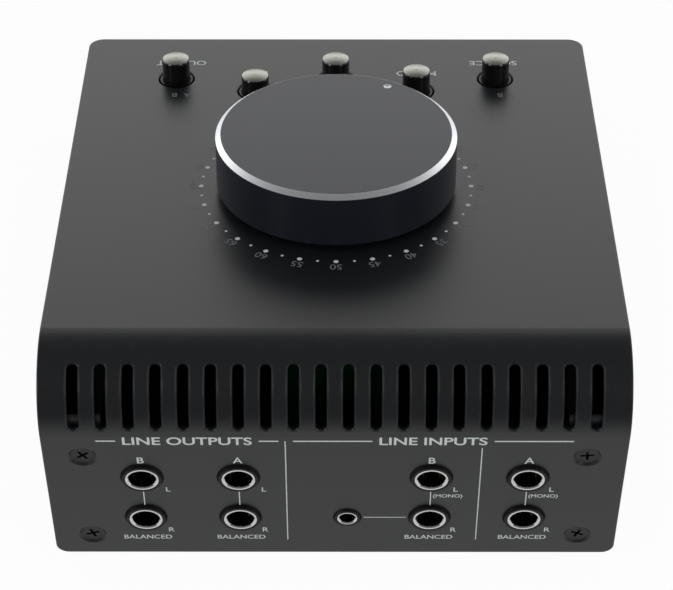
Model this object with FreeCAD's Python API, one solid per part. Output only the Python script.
"""Desktop studio monitor controller: a folded steel wedge with a volume knob, five push buttons
and nine sockets.

Row frame: +X to the right when facing the sockets, +Y away from them towards the user, +Z up.
The origin is on the surface it stands on, under the middle of the whole.
Two working frames are used for what sits on a panel. In both, X is the row's X and Z points
straight out of the panel, with 0 at its outer face:
  rear frame: Y is the height above the surface it stands on
  top frame: Y runs down the slope from the corner where the two outer faces would meet
All sizes are in millimetres.
"""
import FreeCAD, Part
import math
import os

from FreeCAD import Placement, Rotation, Vector

# Folded cover: socket panel, bend and sloping top in one sheet
cover_width = 134.0
cover_depth = 150.2
body_height = 62.1
top_slope = 15.1
bend_radius = 15.6
cover_sheet = 1.5
front_corner_radius = 4.0
rear_corner_radius = 3.0
sheet_edge_round = 0.35
foot_height = 3.5
cover_drop = 0.5

# Cooling slots on the bend
slot_count = 20
slot_pitch = 6.22
slot_width = 2.5
slot_start = 2.3
slot_length = 16.2
slot_edge = 0.35

# Tray under the cover
tray_sheet = 1.2
tray_side_inset = 2.0
tray_front_inset = 3.0
tray_gap = 0.25
tray_fold_radius = 2.0
rear_flange_width = 12.0
rear_flange_top_gap = 3.0
rear_sill = 5.5
front_flange = 8.5
front_flange_side_gap = 1.5

# Brackets that hook under the tray's front flange
hook_x = 23.0
hook_width = 14.0
hook_sheet = 1.2
hook_foot = 6.4
hook_tongue = 7.4
hook_gap = 0.2
hook_end_gap = 1.1

# Countersunk screws in the socket panel
cover_screw_from_side = 9.2
cover_screw_rise = (7.65, 38.95)
cover_screw_turns = (20.0, 65.0, 38.0, 5.0)
countersink_radius = 3.4
cover_screw_head_radius = 2.85
cover_screw_radius = 1.75
cover_screw_sunk = 0.45
cover_screw_length = 9.0
cover_screw_tip = 0.3

# Small pan-head screws
pan_head_radius = 2.75
pan_head_height = 1.7
pan_head_round = 0.6
pan_screw_radius = 1.5
board_screw_length = 8.0
foot_screw_length = 6.5
recess_span = 3.2
recess_width = 0.65
recess_depth = 1.0
screw_clearance = 0.1
thread_clearance = 0.05

# Feet
foot_top_radius = 7.0
foot_bottom_radius = 6.2
foot_edge_round = 0.6
foot_recess_radius = 3.4
foot_recess_depth = 2.0
foot_from_side = 17.0
foot_from_rear = 16.0
foot_from_front = 20.0
foot_collar_height = 1.2
foot_collar_wall = 1.2

# Volume knob, measured from the top's front edge
knob_from_front = 75.04
knob_x = 0.2
knob_radius = 29.5
knob_height = 15.6
knob_gap = 1.85
knob_bevel_run = 1.25
knob_bevel_rise = 0.95
knob_foot_bevel = 0.3
knob_wall = 3.0
knob_crown = 3.6
knob_boss_radius = 10.0
hub_radius = 7.0
hub_bottom = 5.4
hub_top = 12.6
hub_end_room = 0.6
press_gap = 0.02
pointer_radius = 1.0
pointer_ring = 25.66
pointer_angle = 30.0
pointer_depth = 3.0
pointer_dish = 0.12
pointer_dish_radius = 0.85
pointer_end_room = 0.1
grub_radius = 2.0
grub_length = 6.0
grub_height = 8.6
grub_key = 2.0
grub_key_depth = 2.0
grub_tip_gap = 0.05
key_hole_radius = 1.8

# Potentiometer
pot_side = 24.0
pot_corner = 2.0
pot_cavity_radius = 9.5
pot_floor = 1.0
pot_roof = 3.0
bushing_radius = 4.5
bushing_above = 4.5
bushing_seat = 2.0
bushing_clearance = 0.15
shaft_radius = 3.0
shaft_clearance = 0.05
shaft_top = 11.0
shaft_flat = 2.5
shaft_flat_length = 5.5
wiper_radius = 8.8
wiper_thickness = 1.5
element_radius = 9.3
element_thickness = 0.8
element_gap = 0.3
washer_radius = 7.0
washer_thickness = 0.6
nut_across_flats = 13.0
nut_height = 2.2
pot_pin_spread = 5.0
pot_pin_rows = (9.0, 6.0)

# Push buttons: X, distance from the top's front edge, and how far each is latched in
button_places = (
    (-42.25, 21.77, 0.0),
    (-21.15, 28.17, 1.45),
    (0.0, 21.77, 0.0),
    (21.15, 28.17, 0.0),
    (42.25, 21.77, 0.0),
)
button_radius = 3.6
button_height = 6.1
button_below = 2.9
button_edge = 0.3
button_hole_radius = 4.75
button_hole_edge = 0.25
disc_radius = 3.45
disc_thickness = 0.6
disc_dome = 0.4
plunger_side = 3.6
plunger_fit = 0.1
plunger_in_cap = 3.0
plunger_foot_side = 5.4
plunger_foot_height = 1.2
plunger_foot_drop = 0.1
switch_side = 8.5
switch_roof = 1.5
switch_floor = 1.0
collar_radius = 4.3
collar_gap = 0.15
collar_below_face = 0.1
switch_height = 8.0
switch_pin_pitch = 2.5
spring_radius = 2.0
spring_wire = 0.35
spring_turns = 4
spring_end_gap = 0.03

# Control board, under the top and parallel to it
control_board_depth = 13.5
board_thickness = 1.6
pin_reach = 1.5
control_board_side_gap = 9.0
control_board_front_gap = 9.0
control_board_rear_gap = 8.0
control_post_side_margin = 6.0
control_post_margin = 7.0
post_radius = 2.75

# Quarter-inch sockets
line_jack_columns = (-44.65, -22.33, 22.33, 44.65)
line_jack_rise = (14.9, 30.9)
nose_out = 0.8
nose_radius = 4.85
nose_face_radius = 4.55
nose_clearance = 0.12
line_jack_width = 16.0
line_jack_height = 15.0
line_jack_edge = 0.6
jack_shoulder_gap = 0.2
jack_depth = 30.0
line_plug_radius = 3.4
line_sleeve_bore = 3.2
line_sleeve_wall = 0.8
line_sleeve_length = 7.6
sleeve_slit = 0.6
sleeve_mouth = 0.25
sleeve_lip = 0.7
sleeve_seat_gap = 0.03
sleeve_set_back = 0.05
jack_back_wall = 1.3
contact_width = 2.4
contact_sheet = 0.4
contact_pocket_top = 6.2
contact_start = 9.4
contact_knee = 14.0
contact_rest = 5.0
contact_bend = 3.0
contact_dip = 0.3
contact_tip_rise = 1.3
contact_play = 0.1
pin_wall = 2.0
jack_pin_radius = 0.5
jack_pin_reach = 3.2
pin_hole_gap = 0.2

# Small socket
mini_jack_x = 2.9
mini_nose_out = 0.5
mini_nose_radius = 3.2
mini_nose_face_radius = 2.95
mini_sleeve_bore = 1.85
mini_sleeve_wall = 0.62
mini_sleeve_length = 5.0
mini_sleeve_slit = 0.7
mini_plug_radius = 2.15
mini_jack_side = 9.0
mini_jack_depth = 14.0

# Jack board and its pillars
jack_board_side_gap = 5.0
jack_board_bottom_gap = 1.0
jack_board_top_rise = 41.5
pillar_across_flats = 6.35
pillar_thread_depth = 8.0

# Ribbon and its two connectors
header_length = 24.0
header_width = 8.5
header_height = 9.0
header_rise = 31.5
ribbon_width = 20.0
ribbon_thickness = 0.9
ribbon_straight = 2.0
ribbon_top_radius = 5.0
ribbon_drop = 6.0
ribbon_loop_radius = 8.0

# Places that follow from the sizes above
slope = math.radians(top_slope)
bend_turn = 90.0 + top_slope
panel_y = nose_out - (cover_depth + nose_out) / 2
front_y = panel_y + cover_depth
cover_bottom = foot_height - cover_drop
bend_z = cover_bottom + body_height - bend_radius
corner_z = bend_z + bend_radius * math.tan(math.radians(bend_turn / 2))
top_length = cover_depth / math.cos(slope)
half_width = cover_width / 2
cover_screw_x = half_width - cover_screw_from_side
jack_board_half_width = half_width - jack_board_side_gap
control_board_half_width = half_width - control_board_side_gap
control_post_x = control_board_half_width - control_post_side_margin
foot_x = half_width - foot_from_side
tray_half = half_width - tray_side_inset
tray_front = front_y - tray_front_inset
knob_u = top_length - knob_from_front
jack_board_back = cover_sheet + jack_depth
rear_frame = Placement(Vector(0, panel_y, 0), Rotation(Vector(1, 0, 0), 90))
top_frame = Placement(Vector(0, panel_y, corner_z), Rotation(Vector(1, 0, 0), -top_slope))
nodes = {}


def placed(shape, frame, x=0.0, y=0.0, z=0.0):
    """A copy of a shape made about a panel frame's Z axis, moved to (x, y, z) in that frame."""
    copy = shape.copy()
    copy.Placement = frame.multiply(Placement(Vector(x, y, z), Rotation())).multiply(shape.Placement)
    return copy


def block(x, y, z):
    """A box from its (low, high) pair along each axis."""
    size = [high - low for low, high in (x, y, z)]
    return Part.makeBox(*size, Vector(x[0], y[0], z[0]))


def rod(radius, low, high, x=0.0, y=0.0):
    """A cylinder along Z between two heights."""
    return Part.makeCylinder(radius, high - low, Vector(x, y, low))


def turned(profile):
    """A solid of revolution about Z from (radius, height) points."""
    points = [Vector(r, 0, z) for r, z in profile]
    face = Part.Face(Part.makePolygon(points + points[:1]))
    return face.revolve(Vector(0, 0, 0), Vector(0, 0, 1), 360)


def hexagon(across_flats, low, high):
    """A hexagonal prism along Z."""
    corner = across_flats / math.sqrt(3)
    angles = [math.radians(60 * side) for side in range(6)]
    points = [Vector(corner * math.cos(a), corner * math.sin(a), low) for a in angles]
    return Part.Face(Part.makePolygon(points + points[:1])).extrude(Vector(0, 0, high - low))


def group(shapes):
    """Separate solids kept in one node."""
    return Part.makeCompound(shapes)


def on_slope(u, out):
    """The row's (y, z) of a place on the side view: u down the slope, out of the top's face."""
    y = panel_y + u * math.cos(slope) + out * math.sin(slope)
    z = corner_z - u * math.sin(slope) + out * math.cos(slope)
    return y, z


def slope_at(y, out):
    """How far down the slope the row's y is met, at a height out of the top's face."""
    return (y - panel_y - out * math.sin(slope)) / math.cos(slope)


def fold(inside, low_z, end_u):
    """Edges of the cover's fold in side view, at a distance inside its outer faces."""
    radius = bend_radius - inside
    centre = Vector(-half_width, panel_y + bend_radius, bend_z)

    def around(degrees):
        angle = math.radians(degrees)
        return centre + Vector(0, -radius * math.cos(angle), radius * math.sin(angle))

    low = Vector(-half_width, panel_y + inside, low_z)
    end = Vector(-half_width, *on_slope(end_u, -inside))
    return [
        Part.makeLine(low, around(0)),
        Part.Arc(around(0), around(bend_turn / 2), around(bend_turn)).toShape(),
        Part.makeLine(around(bend_turn), end),
    ]


def ends(edges):
    """First and last point of a chain of edges."""
    return edges[0].Vertexes[0].Point, edges[-1].Vertexes[-1].Point


def inside_of(point):
    """Distance of a point inside the cover's outer faces."""
    to_axis = Vector(0, point.y - panel_y - bend_radius, point.z - bend_z)
    angle = math.degrees(math.atan2(to_axis.z, -to_axis.y))
    if point.z <= bend_z:
        return point.y - panel_y
    if 0 <= angle <= bend_turn:
        return bend_radius - to_axis.Length
    return -((point.y - panel_y) * math.sin(slope) + (point.z - corner_z) * math.cos(slope))


def slot_cutter():
    """One cooling slot with its bevelled edge, in the middle of the bend."""
    half = slot_width / 2
    inner = bend_radius - cover_sheet - 1
    rim = bend_radius - slot_edge
    outer = bend_radius + 1
    wide = half + outer - rim
    first = math.degrees((slot_start + half) / bend_radius)
    last = math.degrees((slot_start + slot_length - half) / bend_radius)
    axis = Vector(0, panel_y + bend_radius, bend_z)

    def at(degrees):
        return Placement(axis, Rotation(Vector(1, 0, 0), 90 - degrees))

    section = [(half, inner), (half, rim), (wide, outer), (-wide, outer), (-half, rim), (-half, inner)]
    points = [Vector(x, 0, z) for x, z in section]
    face = Part.Face(Part.makePolygon(points + points[:1]))
    face.Placement = at(first)
    sweep = face.revolve(axis, Vector(-1, 0, 0), last - first)
    end = turned([(0, inner), (half, inner), (half, rim), (wide, outer), (0, outer)])
    return [sweep] + [placed(end, at(degrees)) for degrees in (first, last)]


def top_cover():
    """Folded sheet with its corners and outer edges rounded, then slots and holes cut."""
    outer = fold(0, cover_bottom, top_length)
    inner = fold(cover_sheet, cover_bottom, top_length)
    joins = [Part.makeLine(a, b) for a, b in zip(ends(outer), ends(inner))]
    wire = Part.Wire(Part.__sortEdges__(outer + inner + joins))
    sheet = Part.Face(wire).extrude(Vector(cover_width, 0, 0))

    def corner(edge, point, other):
        far = abs(abs(point.x) - half_width) < 1e-6 and abs(abs(other.x) - half_width) < 1e-6
        return far and abs(edge.Length - cover_sheet) < 1e-6

    pairs = [(edge, edge.Vertexes[0].Point, edge.Vertexes[-1].Point) for edge in sheet.Edges]
    corners = [(edge, a) for edge, a, b in pairs if corner(edge, a, b)]
    front = [edge for edge, a in corners if a.y > 0]
    rear = [edge for edge, a in corners if a.y < 0]
    sheet = sheet.makeFillet(front_corner_radius, front)
    rear = [e for e in sheet.Edges for old in rear if (e.CenterOfMass - old.CenterOfMass).Length < 1e-4]
    sheet = sheet.makeFillet(rear_corner_radius, rear)
    border = []
    for edge in sheet.Edges:
        first, last = edge.ParameterRange
        points = [edge.valueAt(first + (last - first) * share) for share in (0.0, 0.5, 1.0)]
        across = abs(points[0].x - points[2].x) > half_width
        seam = across and cover_bottom + 1 < points[1].z and points[1].y < front_y - 1
        if max(abs(inside_of(point)) for point in points) < 1e-4 and not seam:
            border.append(edge)
    sheet = sheet.makeFillet(sheet_edge_round, border)

    cuts = []
    for index in range(slot_count):
        x = (index - (slot_count - 1) / 2) * slot_pitch
        for tool in slot_cutter():
            tool.translate(Vector(x, 0, 0))
            cuts.append(tool)
    deep = cover_sheet + 1
    nose_hole = rod(nose_radius + nose_clearance, -deep, 1)
    cuts += [placed(nose_hole, rear_frame, x, z) for x, z in line_jack_places()]
    mini_hole = rod(mini_nose_radius + nose_clearance, -deep, 1)
    cuts.append(placed(mini_hole, rear_frame, mini_jack_x, row_z(0)))
    through = cover_screw_radius + screw_clearance
    sink = turned([
        (0, -deep), (through, -deep), (through, through - countersink_radius),
        (countersink_radius + 1, 1), (0, 1),
    ])
    cuts += [placed(sink, rear_frame, x, z) for x, z in cover_screw_places()]
    cuts.append(placed(rod(bushing_radius + bushing_clearance, -deep, 1), top_frame, knob_x, knob_u))
    wide = button_hole_radius + button_hole_edge + 1
    button_hole = turned([
        (0, -deep), (button_hole_radius, -deep), (button_hole_radius, -button_hole_edge),
        (wide, 1), (0, 1),
    ])
    cuts += [placed(button_hole, top_frame, x, u) for x, u, _ in buttons()]
    return sheet.cut(cuts)


def row_z(row):
    """Height of a row of sockets above the surface it stands on: 0 is the lower row."""
    return cover_bottom + line_jack_rise[row]


def line_jack_places():
    """X and height of the quarter-inch sockets, upper row first, left to right."""
    return [(x, row_z(row)) for row in (1, 0) for x in line_jack_columns]


def cover_screw_places():
    """X and height of the screws in the socket panel."""
    return [(x, cover_bottom + rise) for rise in cover_screw_rise for x in (-cover_screw_x, cover_screw_x)]


def buttons():
    """X, place down the slope, and latched depth of each button."""
    return [(x, top_length - back, latched) for x, back, latched in button_places]


def flange_inner_u():
    """Where the tray's front flange ends, down the slope."""
    return slope_at(tray_front - tray_sheet, -cover_sheet - tray_gap) - front_flange


def cover_hooks():
    """Two joggled brackets: a foot under the top, and a tongue under the tray's front flange."""
    under_flange = -cover_sheet - tray_gap - tray_sheet - hook_gap
    tongue_low = under_flange - hook_sheet
    step = flange_inner_u() - hook_end_gap - hook_sheet
    half = hook_width / 2
    side = (-half, half)
    foot = block(side, (step - hook_foot, step), (-cover_sheet - hook_sheet, -cover_sheet))
    riser = block(side, (step, step + hook_sheet), (tongue_low, -cover_sheet))
    tongue = block(side, (step, step + hook_sheet + hook_tongue), (tongue_low, under_flange))
    hook = foot.fuse([riser, tongue]).removeSplitter()
    return group([placed(hook, top_frame, x) for x in (-hook_x, hook_x)])


def foot_places():
    """Name, X and Y of each foot."""
    rows = (("rear", panel_y + foot_from_rear), ("front", front_y - foot_from_front))
    sides = (("left", -foot_x), ("right", foot_x))
    return [(f"foot_{row}_{side}", x, y) for row, y in rows for side, x in sides]


def base_tray():
    """Open tray: floor, wedge-shaped sides, front wall with a flange, and flanges at the rear."""
    inside = cover_sheet + tray_gap
    front_u = slope_at(tray_front, -inside)
    curve = fold(inside, bend_z - rear_flange_top_gap, front_u)
    start, end = ends(curve)
    rear = panel_y + cover_sheet
    x = -half_width
    outline = [
        start, Vector(x, rear, start.z), Vector(x, rear, foot_height),
        Vector(x, tray_front, foot_height), end,
    ]
    lines = [Part.makeLine(a, b) for a, b in zip(outline, outline[1:])]
    wire = Part.Wire(Part.__sortEdges__(curve + lines))
    solid = Part.Face(wire).extrude(Vector(2 * tray_half, 0, 0))
    solid.translate(Vector(tray_side_inset, 0, 0))
    folded = [
        edge for edge in solid.Edges
        if edge.CenterOfMass.z < foot_height + 1e-6 and edge.CenterOfMass.y > rear + 1
    ]
    solid = solid.makeFillet(tray_fold_radius, folded)

    inner_half = tray_half - tray_sheet
    floor = foot_height + tray_sheet
    above = corner_z + 1
    hollow = block(
        (-inner_half, inner_half), (rear + tray_sheet, tray_front - tray_sheet), (floor, above)
    )
    hollow = hollow.makeFillet(tray_fold_radius - tray_sheet, [
        edge for edge in hollow.Edges if abs(edge.CenterOfMass.z - floor) < 1e-6
    ])
    window_half = tray_half - rear_flange_width
    window = block(
        (-window_half, window_half), (rear - 1, rear + tray_sheet + 1),
        (foot_height + rear_sill, above),
    )
    tray = solid.cut([hollow, window])
    flange_half = inner_half - front_flange_side_gap
    flange = placed(block(
        (-flange_half, flange_half), (flange_inner_u(), front_u + 1), (-inside - tray_sheet, -inside)
    ), top_frame)
    room = block((-half_width, half_width), (0, tray_front - tray_sheet / 2), (0, above))
    tray = tray.fuse(flange.common(room))
    collar_radius_out = pan_screw_radius + foot_collar_wall
    tray = tray.fuse([
        rod(collar_radius_out, floor - tray_sheet / 2, floor + foot_collar_height, x, y)
        for _, x, y in foot_places()
    ])
    hole = rod(cover_screw_radius + 2 * screw_clearance, -10, 1)
    cuts = [placed(hole, rear_frame, x, z) for x, z in cover_screw_places()]
    cuts += [
        rod(pan_screw_radius + thread_clearance, 0, floor + foot_collar_height + 1, x, y)
        for _, x, y in foot_places()
    ]
    return tray.cut(cuts).removeSplitter()


def cross_recess(top):
    """Cutter for a cross recess in a screw head whose top is at this height."""
    span = (-recess_span / 2, recess_span / 2)
    across = (-recess_width / 2, recess_width / 2)
    height = (top - recess_depth, top + 1)
    return [block(span, across, height), block(across, span, height)]


def cover_screws():
    """Countersunk screws; each cross recess is left at a turn of its own."""
    head = -cover_screw_sunk
    cone = cover_screw_head_radius - cover_screw_radius
    screw = turned([
        (0, -cover_screw_length), (cover_screw_radius - cover_screw_tip, -cover_screw_length),
        (cover_screw_radius, cover_screw_tip - cover_screw_length), (cover_screw_radius, head - cone),
        (cover_screw_head_radius, head), (0, head),
    ]).cut(cross_recess(head))
    shapes = []
    for (x, z), turn in zip(cover_screw_places(), cover_screw_turns):
        turned_screw = screw.copy()
        turned_screw.rotate(Vector(0, 0, 0), Vector(0, 0, 1), turn)
        shapes.append(placed(turned_screw, rear_frame, x, z))
    return group(shapes)


def pan_screw(length):
    """Pan-head screw: the head stands on Z 0, the shank runs down."""
    head = rod(pan_head_radius, 0, pan_head_height)
    head = head.makeFillet(pan_head_round, [
        edge for edge in head.Edges if abs(edge.CenterOfMass.z - pan_head_height) < 1e-6
    ])
    return head.fuse(rod(pan_screw_radius, -length, 0)).cut(cross_recess(pan_head_height))


def make_feet():
    """Rubber feet, each with a screw through a recess in its underside."""
    foot = turned([
        (0, 0), (foot_bottom_radius - foot_edge_round, 0), (foot_bottom_radius, foot_edge_round),
        (foot_top_radius, foot_height), (0, foot_height),
    ])
    web = foot_recess_depth
    foot = foot.cut([
        rod(foot_recess_radius, -1, web), rod(pan_screw_radius + screw_clearance, 0, foot_height + 1)
    ])
    screw = pan_screw(foot_screw_length)
    screw.rotate(Vector(0, 0, 0), Vector(1, 0, 0), 180)
    screws = []
    for name, x, y in foot_places():
        nodes[name] = foot.translated(Vector(x, y, 0))
        screws.append(screw.translated(Vector(x, y, web)))
    nodes["foot_screws"] = group(screws)


def towards(degrees, distance, height):
    """A point at a bearing from down the slope (towards +X), about the knob's axis."""
    angle = math.radians(degrees)
    return Vector(distance * math.sin(angle), distance * math.cos(angle), height)


def make_knob():
    """Turned knob with a polished bevel, its pressed-in hub, pointer pin and grub screw."""
    top, low = knob_height, knob_gap
    inner = knob_radius - knob_wall
    under = top - knob_crown
    shell = turned([
        (0, top), (knob_radius - knob_bevel_run, top), (knob_radius, top - knob_bevel_rise),
        (knob_radius, low + knob_foot_bevel), (knob_radius - knob_foot_bevel, low), (inner, low),
        (inner, under), (knob_boss_radius, under), (knob_boss_radius, hub_bottom),
        (hub_radius, hub_bottom), (hub_radius, hub_top), (0, hub_top),
    ])
    screw_angle = pointer_angle - 90
    outward = towards(screw_angle, 1, 0)
    axis = Vector(0, 0, grub_height)
    screw_path = Part.makeCylinder(grub_radius + screw_clearance, knob_boss_radius + 1, axis, outward)
    key_path = Part.makeCylinder(key_hole_radius, knob_radius + 1, axis, outward)
    pin_place = towards(pointer_angle, pointer_ring, 0)
    pin_foot = top - pointer_depth
    hole_foot = pin_foot - pointer_end_room
    pin_hole = rod(pointer_radius + press_gap, hole_foot, top + 1, pin_place.x, pin_place.y)
    shell = shell.cut([screw_path, key_path, pin_hole])

    bore_top = shaft_top + hub_end_room
    hub = rod(hub_radius - press_gap, hub_bottom, hub_top)
    hub = hub.cut([
        rod(shaft_radius + press_gap, hub_bottom - 1, bore_top),
        Part.makeCylinder(grub_radius + press_gap, hub_radius + 1, axis, outward),
    ])
    pin = rod(pointer_radius, pin_foot, top, pin_place.x, pin_place.y)
    ball = (pointer_dish_radius ** 2 + pointer_dish ** 2) / (2 * pointer_dish)
    pin = pin.cut(Part.makeSphere(ball, pin_place + Vector(0, 0, top - pointer_dish + ball)))

    tip = shaft_flat + grub_tip_gap
    grub = Part.makeCylinder(grub_radius, grub_length, axis + outward * tip, outward)
    key = hexagon(grub_key, 0, grub_key_depth + 1)
    key.Placement = Placement(
        axis + outward * (tip + grub_length - grub_key_depth), Rotation(Vector(0, 0, 1), outward)
    )
    grub = grub.cut(key)
    made = (("knob_shell", shell), ("knob_hub", hub), ("knob_pointer", pin), ("grub_screw", grub))
    for name, shape in made:
        nodes[name] = placed(shape, top_frame, knob_x, knob_u)


def pot_pin_places():
    """X and Y of the potentiometer's pins about its axis: two rows of three."""
    return [(x, y) for y in pot_pin_rows for x in (-pot_pin_spread, 0.0, pot_pin_spread)]


def make_potentiometer():
    """Housing on the control board, bush and nut through the top, and the turning shaft."""
    low, high = -control_board_depth, -cover_sheet
    half = pot_side / 2
    housing = block((-half, half), (-half, half), (low, high))
    housing = housing.makeFillet(pot_corner, [
        edge for edge in housing.Edges if abs(edge.Length - (high - low)) < 1e-6
    ])
    floor = low + pot_floor
    roof = high - pot_roof
    seat = high - bushing_seat
    shaft_hole = shaft_radius + 2 * shaft_clearance
    housing = housing.cut([
        rod(pot_cavity_radius, floor, roof),
        rod(shaft_hole, roof - 1, seat + 1),
        rod(bushing_radius + press_gap, seat, high + 1),
    ])
    pin_low = low - board_thickness - pin_reach
    housing = housing.fuse([rod(jack_pin_radius, pin_low, low, x, y) for x, y in pot_pin_places()])
    element = rod(element_radius, floor, floor + element_thickness)
    bushing = rod(bushing_radius, seat, bushing_above).cut(
        rod(shaft_radius + shaft_clearance, seat - 1, bushing_above + 1)
    )
    wiper_low = floor + element_thickness + element_gap
    shaft = rod(shaft_radius, wiper_low, shaft_top).fuse(
        rod(wiper_radius, wiper_low, wiper_low + wiper_thickness)
    )
    flat = block(
        (-shaft_radius, shaft_radius), (shaft_flat, shaft_radius + 1),
        (shaft_top - shaft_flat_length, shaft_top + 1),
    )
    flat.rotate(Vector(0, 0, 0), Vector(0, 0, 1), 90 - pointer_angle)
    shaft = shaft.cut(flat)
    washer = rod(washer_radius, 0, washer_thickness).cut(rod(bushing_radius + bushing_clearance, -1, 2))
    nut_top = washer_thickness + nut_height
    nut = hexagon(nut_across_flats, washer_thickness, nut_top).cut(
        rod(bushing_radius + thread_clearance, 0, nut_top + 1)
    )
    made = (
        ("pot_body", housing), ("pot_element", element), ("pot_bushing", bushing),
        ("pot_shaft", shaft), ("pot_washer", washer), ("pot_nut", nut),
    )
    for name, shape in made:
        nodes[name] = placed(shape, top_frame, knob_x, knob_u)


def switch_pin_places():
    """X and Y of a switch's pins about its axis: two rows of three."""
    rows = (-switch_pin_pitch, 0, switch_pin_pitch)
    return [(x, y) for x in (-switch_pin_pitch, switch_pin_pitch) for y in rows]


def square(side, low, high):
    """A square bar along Z."""
    return block((-side / 2, side / 2), (-side / 2, side / 2), (low, high))


def arc_past(start, corner, finish):
    """The arc from start to finish whose end tangents meet at a corner."""
    middle = (start + finish) * 0.5
    half_chord = (finish - start).Length / 2
    out = corner - middle
    quarter_turn = math.atan2(out.Length, half_chord) / 2
    peak = middle + out.normalize() * (half_chord * math.tan(quarter_turn))
    return Part.Arc(start, peak, finish).toShape()


def biarc(start, start_way, finish, finish_way):
    """Two arcs tangent to each other and to a way at each end.

    The end tangents run an equal reach d to the arcs' corners, where
    |finish - start - d (start_way + finish_way)| = 2 d.
    """
    span = finish - start
    ways = start_way + finish_way
    square_term = ways.dot(ways) - 4
    linear_term = -2 * span.dot(ways)
    root = math.sqrt(linear_term ** 2 - 4 * square_term * span.dot(span))
    reach = -(linear_term + root) / (2 * square_term)
    first, second = start + start_way * reach, finish - finish_way * reach
    join = (first + second) * 0.5
    return [arc_past(start, first, join), arc_past(join, second, finish)]


def coil(low, high):
    """Compression spring along Z between two end faces: a helix as two arcs to each quarter turn."""
    rise = high - low - spring_wire - 2 * spring_end_gap
    foot = low + spring_wire / 2 + spring_end_gap
    climb = rise / (2 * math.pi * spring_turns)
    places, ways = [], []
    for step in range(4 * spring_turns + 1):
        angle = step * math.pi / 2
        ring = Vector(math.cos(angle), math.sin(angle), 0)
        places.append(ring * spring_radius + Vector(0, 0, foot + climb * angle))
        ways.append(Vector(-ring.y * spring_radius, ring.x * spring_radius, climb).normalize())
    edges = []
    for step in range(4 * spring_turns):
        edges += biarc(places[step], ways[step], places[step + 1], ways[step + 1])
    section = Part.Wire(Part.makeCircle(spring_wire / 2, places[0], ways[0]))
    return Part.Wire(edges).makePipeShell([section], True, False)


def make_buttons():
    """Caps and their discs, sliding stems, switch housings and return springs."""
    cap_low, top = -button_below, button_height
    board = -control_board_depth
    switch_top = board + switch_height
    cavity_top = switch_top - switch_roof
    cavity_floor = board + switch_floor
    foot_top = cavity_top - plunger_foot_drop
    foot_low = foot_top - plunger_foot_height
    stem_top = cap_low + plunger_in_cap

    cap = turned([
        (0, cap_low), (button_radius, cap_low), (button_radius, top - button_edge),
        (button_radius - button_edge / 2, top), (0, top),
    ]).cut([
        rod(disc_radius, top - disc_thickness, top + 1),
        square(plunger_side + 2 * press_gap, cap_low - 1, stem_top),
    ])
    ball = (disc_radius ** 2 + disc_dome ** 2) / (2 * disc_dome)
    crown = Part.makeSphere(ball, Vector(0, 0, top + disc_dome - ball))
    disc = rod(disc_radius - press_gap, top - disc_thickness, top + 1).common(crown)
    stem = square(plunger_side, foot_low, stem_top).fuse(square(plunger_foot_side, foot_low, foot_top))

    housing = square(switch_side, board, switch_top)
    collar = rod(collar_radius, switch_top, -collar_below_face).cut(
        rod(button_radius + collar_gap, switch_top, 1)
    )
    cavity = plunger_foot_side + 2 * plunger_fit
    housing = housing.fuse(collar).cut([
        square(cavity, cavity_floor, cavity_top),
        square(plunger_side + 2 * plunger_fit, cavity_top - 1, switch_top + 1),
    ])
    pin_low = board - board_thickness - pin_reach
    housing = housing.fuse([rod(jack_pin_radius, pin_low, board, x, y) for x, y in switch_pin_places()])

    springs = []
    for number, (x, u, latched) in enumerate(buttons(), 1):
        for name, shape in (("button_cap", cap), ("button_disc", disc), ("plunger", stem)):
            nodes[f"{name}_{number}"] = placed(shape, top_frame, x, u, -latched)
        nodes[f"switch_{number}"] = placed(housing, top_frame, x, u)
        spring = coil(cavity_floor, foot_low - latched)
        springs.append(placed(spring, top_frame, x, u))
    nodes["return_springs"] = group(springs)


def control_board_ends():
    """Where the control board starts and ends down the slope, clear of jack board and front wall."""
    low = -control_board_depth - board_thickness
    rear = slope_at(panel_y + jack_board_back + board_thickness, low) + control_board_rear_gap
    front = slope_at(tray_front - tray_sheet, low) - control_board_front_gap
    return rear, front


def control_post_places():
    """X and place down the slope of the four posts under the top."""
    rear, front = control_board_ends()
    rows = (rear + control_post_margin, front - control_post_margin)
    return [(x, u) for u in rows for x in (-control_post_x, control_post_x)]


def control_board():
    """Board with holes for its screws and for the pins of potentiometer and switches."""
    low, high = -control_board_depth - board_thickness, -control_board_depth
    half = control_board_half_width
    board = block((-half, half), control_board_ends(), (low, high))
    pins = [(knob_x + x, knob_u + y) for x, y in pot_pin_places()]
    for button_x, u, _ in buttons():
        pins += [(button_x + x, u + y) for x, y in switch_pin_places()]
    holes = [rod(jack_pin_radius + pin_hole_gap, low - 1, high + 1, x, u) for x, u in pins]
    holes += [
        rod(pan_screw_radius + screw_clearance, low - 1, high + 1, x, u) for x, u in control_post_places()
    ]
    return placed(board.cut(holes), top_frame)


def panel_standoffs():
    """Round tapped posts pressed in under the top."""
    foot = -control_board_depth
    post = rod(post_radius, foot, -cover_sheet)
    post = post.cut(rod(pan_screw_radius + thread_clearance, foot - 1, foot + pillar_thread_depth))
    return group([placed(post, top_frame, x, u) for x, u in control_post_places()])


def jack_standoffs():
    """Hexagonal pillars from the tray's rear flanges to the jack board, tapped at both ends."""
    near = -cover_sheet - tray_sheet
    far = -jack_board_back
    pillar = hexagon(pillar_across_flats, far, near).cut([
        rod(cover_screw_radius + thread_clearance, near - pillar_thread_depth, near + 1),
        rod(pan_screw_radius + thread_clearance, far - 1, far + pillar_thread_depth),
    ])
    return group([placed(pillar, rear_frame, x, z) for x, z in cover_screw_places()])


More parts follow.
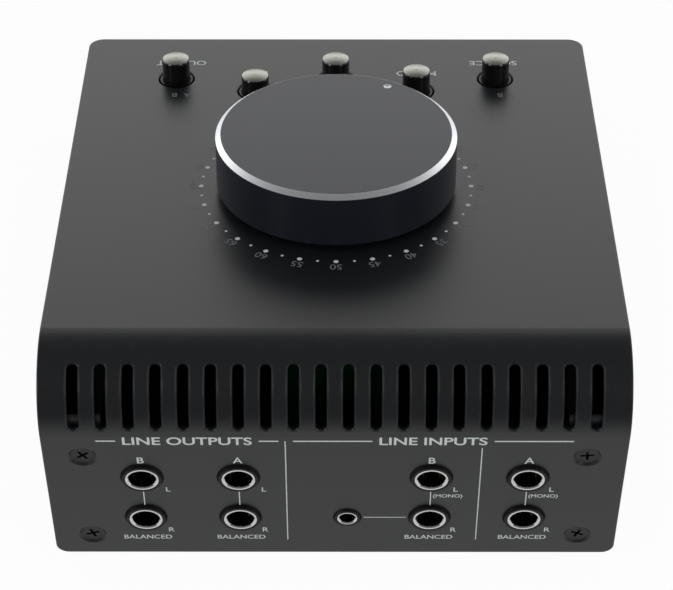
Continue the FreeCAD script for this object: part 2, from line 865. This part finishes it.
def board_screws():
    """Pan-head screws: four into the jack board's pillars and four into the posts under the top."""
    screw = pan_screw(board_screw_length)
    screw.rotate(Vector(0, 0, 0), Vector(1, 0, 0), 180)
    on_jack_board = screw.translated(Vector(0, 0, -jack_board_back - board_thickness))
    on_control_board = screw.translated(Vector(0, 0, -control_board_depth - board_thickness))
    shapes = []
    for shape, frame, places in (
        (on_jack_board, rear_frame, cover_screw_places()),
        (on_control_board, top_frame, control_post_places()),
    ):
        shapes += [placed(shape, frame, x, y) for x, y in places]
    return group(shapes)


def line_jack_pins():
    """X and height of a quarter-inch socket's pins about its axis."""
    across = line_jack_width / 2 - pin_wall
    up = line_jack_height / 2 - pin_wall
    return [(-across, up), (across, up), (-across, -up), (across, -up), (0.0, up)]


def mini_jack_pins():
    """X and height of the small socket's pins about its axis."""
    reach = mini_jack_side / 2 - 1.5
    return [(-reach, reach), (reach, reach), (0.0, -reach)]


def sleeve(bore, wall, length, slit, front):
    """Bright sleeve in a socket's nose with a bevelled mouth, split at the bottom behind a whole lip."""
    ring = turned([
        (bore, front - length), (bore + wall, front - length), (bore + wall, front - sleeve_mouth / 2),
        (bore + wall - sleeve_mouth / 2, front), (bore + sleeve_mouth, front),
        (bore, front - sleeve_mouth),
    ])
    return ring.cut(block(
        (-slit / 2, slit / 2), (-bore - wall - 1, 0), (front - length - 1, front - sleeve_lip),
    ))


def socket_body(nose, width, height, back, bore, sleeve_outer, sleeve_length):
    """Moulded socket: round nose (radius at the panel, at its face, standing out) and square body."""
    at_panel, at_face, out = nose
    shoulder = -cover_sheet - jack_shoulder_gap
    body = block((-width / 2, width / 2), (-height / 2, height / 2), (back, shoulder))
    body = body.makeChamfer(line_jack_edge, [
        edge for edge in body.Edges if abs(edge.Length - (shoulder - back)) < 1e-6
    ])
    spout = turned([(0, shoulder - 1), (at_panel, shoulder - 1), (at_panel, 0), (at_face, out), (0, out)])
    seat = sleeve_outer + sleeve_seat_gap
    return body.fuse(spout).cut([
        rod(seat, out - sleeve_length - sleeve_set_back, out + 1),
        rod(bore, back + jack_back_wall, out),
    ])


def contact_outline():
    """Side outline of one spring contact as (depth, height): straight strip, dip and turned-up end."""
    back = jack_board_back - contact_sheet
    low, high = contact_rest, contact_rest + contact_sheet
    dip = line_plug_radius - contact_dip
    turn = contact_knee - contact_bend
    tip = dip + contact_tip_rise
    return [
        (back, high), (contact_knee, high), (turn, dip + contact_sheet),
        (contact_start, tip + contact_sheet), (contact_start, tip), (turn, dip), (contact_knee, low),
        (back, low),
    ]


def make_sockets():
    """Quarter-inch sockets with sleeves and contacts, and the small socket on its riser."""
    sleeve_outer = line_sleeve_bore + line_sleeve_wall
    back = -jack_board_back
    body = socket_body(
        (nose_radius, nose_face_radius, nose_out), line_jack_width, line_jack_height, back,
        line_plug_radius, sleeve_outer, line_sleeve_length,
    )
    half = contact_width / 2
    across = (-half - contact_play, half + contact_play)
    floor = back + jack_back_wall
    pocket = block(across, (0, contact_pocket_top), (floor, contact_play - contact_start))
    lead = block(
        across, (contact_rest - contact_play, contact_rest + contact_sheet + contact_play),
        (back + contact_sheet / 2, floor + 1),
    )
    slots = [pocket, lead]
    for shape in (pocket, lead):
        turned_over = shape.copy()
        turned_over.rotate(Vector(0, 0, 0), Vector(0, 0, 1), 180)
        slots.append(turned_over)
    body = body.cut(slots)
    pins = [rod(jack_pin_radius, back - jack_pin_reach, back, x, y) for x, y in line_jack_pins()]
    body = body.fuse(pins)
    points = [Vector(-half, height, -depth) for depth, height in contact_outline()]
    contact = Part.Face(Part.makePolygon(points + points[:1])).extrude(Vector(contact_width, 0, 0))
    lower = contact.copy()
    lower.rotate(Vector(0, 0, 0), Vector(0, 0, 1), 180)
    line_front = nose_out - sleeve_set_back
    ring = sleeve(line_sleeve_bore, line_sleeve_wall, line_sleeve_length, sleeve_slit, line_front)
    rings, contacts = [], []
    for number, (x, z) in enumerate(line_jack_places(), 1):
        nodes[f"line_jack_{number}"] = placed(body, rear_frame, x, z)
        rings.append(placed(ring, rear_frame, x, z))
        contacts += [placed(shape, rear_frame, x, z) for shape in (contact, lower)]
    nodes["jack_sleeves"] = group(rings)
    nodes["jack_contacts"] = group(contacts)

    mini_back = -cover_sheet - mini_jack_depth
    mini_outer = mini_sleeve_bore + mini_sleeve_wall
    mini = socket_body(
        (mini_nose_radius, mini_nose_face_radius, mini_nose_out), mini_jack_side, mini_jack_side,
        mini_back, mini_plug_radius, mini_outer, mini_sleeve_length,
    )
    mini_ring = sleeve(
        mini_sleeve_bore, mini_sleeve_wall, mini_sleeve_length, mini_sleeve_slit,
        mini_nose_out - sleeve_set_back,
    )
    half = mini_jack_side / 2
    riser = block((-half, half), (-half, half), (back, mini_back))
    pins = [rod(jack_pin_radius, back - jack_pin_reach, back, x, y) for x, y in mini_jack_pins()]
    riser = riser.fuse(pins)
    for name, shape in (("mini_jack", mini), ("mini_jack_sleeve", mini_ring), ("mini_jack_riser", riser)):
        nodes[name] = placed(shape, rear_frame, mini_jack_x, row_z(0))


def jack_board():
    """Upright board behind the sockets, with holes for its screws and for all the pins."""
    low, high = -jack_board_back - board_thickness, -jack_board_back
    bottom = foot_height + tray_sheet + jack_board_bottom_gap
    half = jack_board_half_width
    board = block((-half, half), (bottom, cover_bottom + jack_board_top_rise), (low, high))
    pins = [(x + a, z + b) for x, z in line_jack_places() for a, b in line_jack_pins()]
    pins += [(mini_jack_x + a, row_z(0) + b) for a, b in mini_jack_pins()]
    holes = [rod(jack_pin_radius + pin_hole_gap, low - 1, high + 1, x, z) for x, z in pins]
    holes += [
        rod(pan_screw_radius + screw_clearance, low - 1, high + 1, x, z) for x, z in cover_screw_places()
    ]
    return placed(board.cut(holes), rear_frame)


def make_ribbon():
    """Flat cable with one hanging loop between the jack board and the control board."""
    mouth_y = panel_y + jack_board_back + board_thickness + header_height
    mouth_z = cover_bottom + header_rise
    down_y = mouth_y + ribbon_straight + ribbon_top_radius
    loop_z = mouth_z - ribbon_top_radius - ribbon_drop
    loop_y = down_y + ribbon_loop_radius
    rise = Vector(0, math.sin(slope), math.cos(slope))
    aside = Vector(0, math.cos(slope), -math.sin(slope))
    loop = Vector(0, loop_y, loop_z)
    loop_end = loop + aside * ribbon_loop_radius
    header_out = -control_board_depth - board_thickness - header_height
    out_now = (loop_end.y - panel_y) * math.sin(slope) + (loop_end.z - corner_z) * math.cos(slope)
    last_run = header_out - out_now
    header_u = slope_at(loop_end.y + rise.y * last_run, header_out)

    def side(shift):
        """One face of the cable, shifted from its middle line towards the inside of the loop."""
        top_r, loop_r = ribbon_top_radius + shift, ribbon_loop_radius - shift
        start = Vector(0, mouth_y, mouth_z + shift)
        bend_start = Vector(0, mouth_y + ribbon_straight, mouth_z + shift)
        top_centre = Vector(0, mouth_y + ribbon_straight, mouth_z - ribbon_top_radius)
        diagonal = Vector(0, 1, 1) * (top_r / math.sqrt(2))
        bend_end = top_centre + Vector(0, top_r, 0)
        loop_start = loop - Vector(0, loop_r, 0)
        half_turn = math.radians((180 - top_slope) / 2)
        middle = loop + Vector(0, -math.cos(half_turn), -math.sin(half_turn)) * loop_r
        finish = loop + aside * loop_r
        return [
            Part.makeLine(start, bend_start),
            Part.Arc(bend_start, top_centre + diagonal, bend_end).toShape(),
            Part.makeLine(bend_end, loop_start),
            Part.Arc(loop_start, middle, finish).toShape(),
            Part.makeLine(finish, finish + rise * last_run),
        ]

    inner, outer = side(ribbon_thickness / 2), side(-ribbon_thickness / 2)
    joins = [Part.makeLine(a, b) for a, b in zip(ends(inner), ends(outer))]
    strip = Part.Face(Part.Wire(Part.__sortEdges__(inner + outer + joins)))
    ribbon = strip.extrude(Vector(ribbon_width, 0, 0))
    ribbon.translate(Vector(-ribbon_width / 2, 0, 0))
    nodes["ribbon_cable"] = ribbon

    header = block(
        (-header_length / 2, header_length / 2), (-header_width / 2, header_width / 2), (-header_height, 0)
    )
    on_jack_board = header.translated(Vector(0, mouth_z, -jack_board_back - board_thickness))
    on_control = header.translated(Vector(0, header_u, -control_board_depth - board_thickness))
    nodes["ribbon_headers"] = group([placed(on_jack_board, rear_frame), placed(on_control, top_frame)])


nodes["top_cover"] = top_cover()
nodes["cover_hooks"] = cover_hooks()
nodes["base_tray"] = base_tray()
nodes["cover_screws"] = cover_screws()
make_feet()
make_knob()
make_potentiometer()
make_buttons()
nodes["control_board"] = control_board()
nodes["panel_standoffs"] = panel_standoffs()
make_sockets()
nodes["jack_board"] = jack_board()
nodes["jack_standoffs"] = jack_standoffs()
nodes["board_screws"] = board_screws()
make_ribbon()

os.makedirs("parts", exist_ok=True)
for name, shape in nodes.items():
    shape.exportStep(f"parts/{name}.step")
    print(name, len(shape.Solids), round(shape.Volume, 1), shape.isValid())
